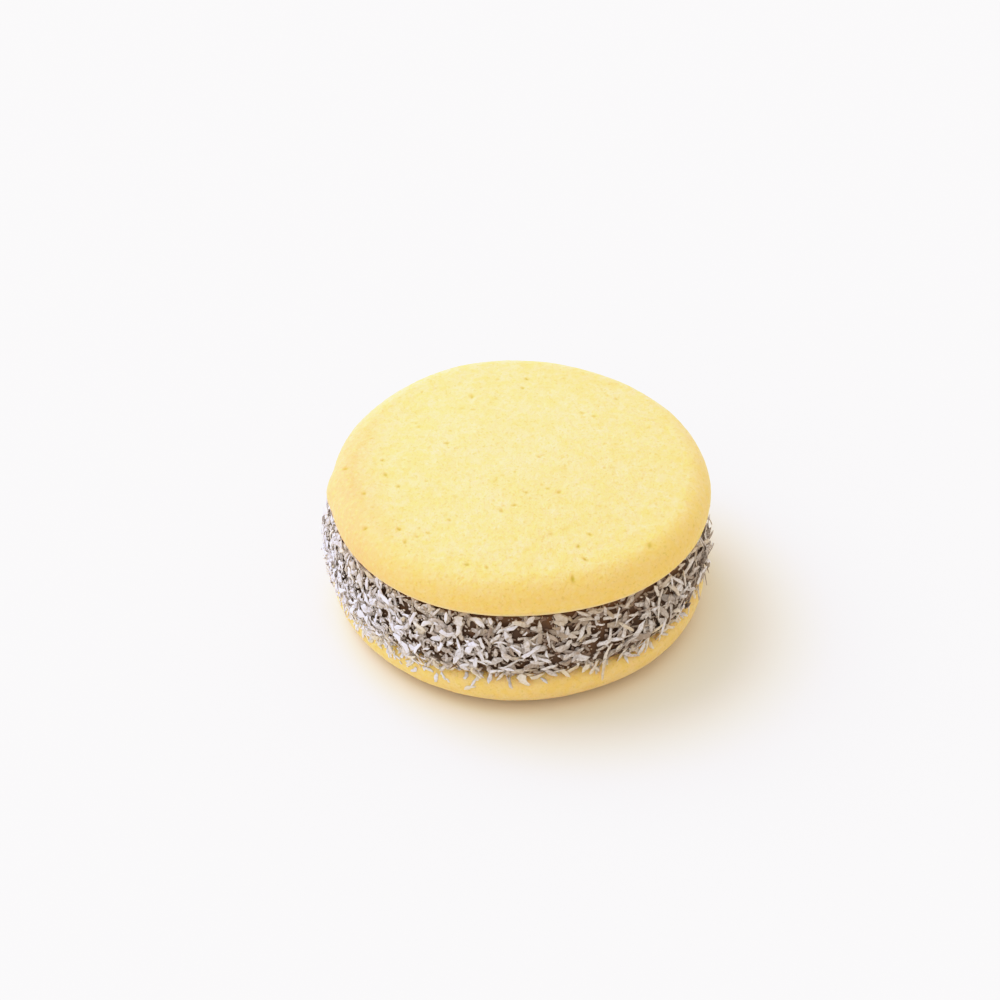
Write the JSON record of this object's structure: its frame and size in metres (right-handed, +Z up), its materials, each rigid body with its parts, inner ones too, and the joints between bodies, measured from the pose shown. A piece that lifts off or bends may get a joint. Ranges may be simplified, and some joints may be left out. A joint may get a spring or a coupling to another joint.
{
  "type": "cornstarch alfajor",
  "caption": "Round sandwich biscuit with a thick caramel filling between two domed biscuits, its side rolled in coconut flakes.",
  "frame": {"origin": "centre of the alfajor's box at the floor, in the flat spot that the lower biscuit rests on", "axes": "+Z up, through both biscuits and the filling; -Y towards the viewer"},
  "size_m": [0.0671, 0.0669, 0.0294],
  "materials": {
    "biscuit": "baked biscuit, fine dry crumb, matt",
    "filling": "dark milk caramel, moist, under flakes of dry white coconut"
  },
  "bodies": {
    "root": {"bottom_biscuit": "biscuit", "filling": "filling", "top_biscuit": "biscuit"}
  },
  "joints": []
}
